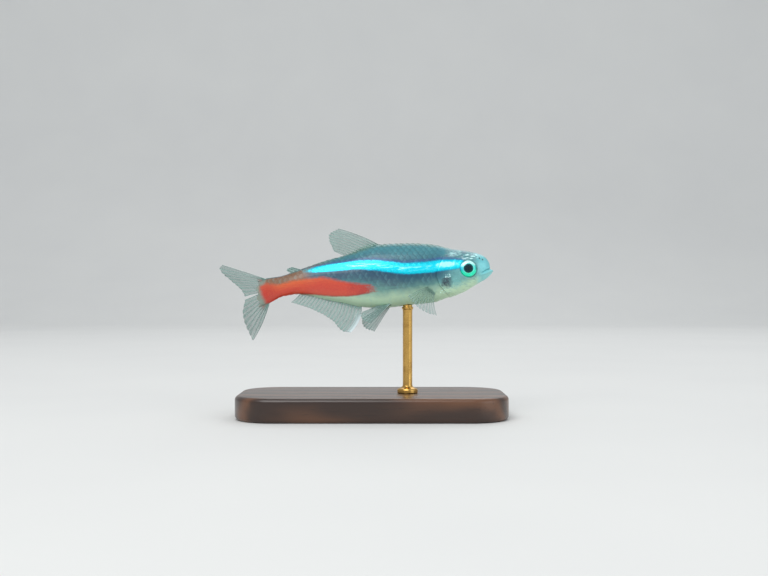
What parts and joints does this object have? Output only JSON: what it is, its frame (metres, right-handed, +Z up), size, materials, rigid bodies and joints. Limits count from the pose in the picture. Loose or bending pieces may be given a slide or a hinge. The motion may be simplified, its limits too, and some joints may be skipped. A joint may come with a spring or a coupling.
{
  "type": "neon tetra on a display stand",
  "caption": "Small slender aquarium fish with a bright blue stripe and a red rear half, swimming with its tail swept aside, held over a flat base by a rod.",
  "frame": {"origin": "centre of the base's flat underside", "axes": "+X the way the fish looks, +Y its left, +Z up"},
  "size_m": [0.0377, 0.016, 0.024],
  "materials": {
    "flesh": "moist silvery skin with fine scales, grey-green back, pale belly, blue stripe and red rear flank",
    "eye": "clear wet cornea over a turquoise iris and a black pupil",
    "fin": "thin translucent membrane over pale rays",
    "stand_wood": "dark stained wood, satin varnish",
    "stand_brass": "brushed brass"
  },
  "bodies": {
    "root": {"head": "flesh", "lower_jaw": "flesh", "gill_cover_right": "flesh", "gill_cover_left": "flesh", "trunk": "flesh", "tail_stalk": "flesh", "eye_right": "eye", "eye_left": "eye", "dorsal_fin": "fin", "adipose_fin": "fin", "anal_fin": "fin", "tail_fin_upper": "fin", "tail_fin_lower": "fin", "pectoral_fin_right": "fin", "pectoral_fin_left": "fin", "pelvic_fin_right": "fin", "pelvic_fin_left": "fin", "stand_base": "stand_wood", "stand_rod": "stand_brass"}
  },
  "joints": []
}
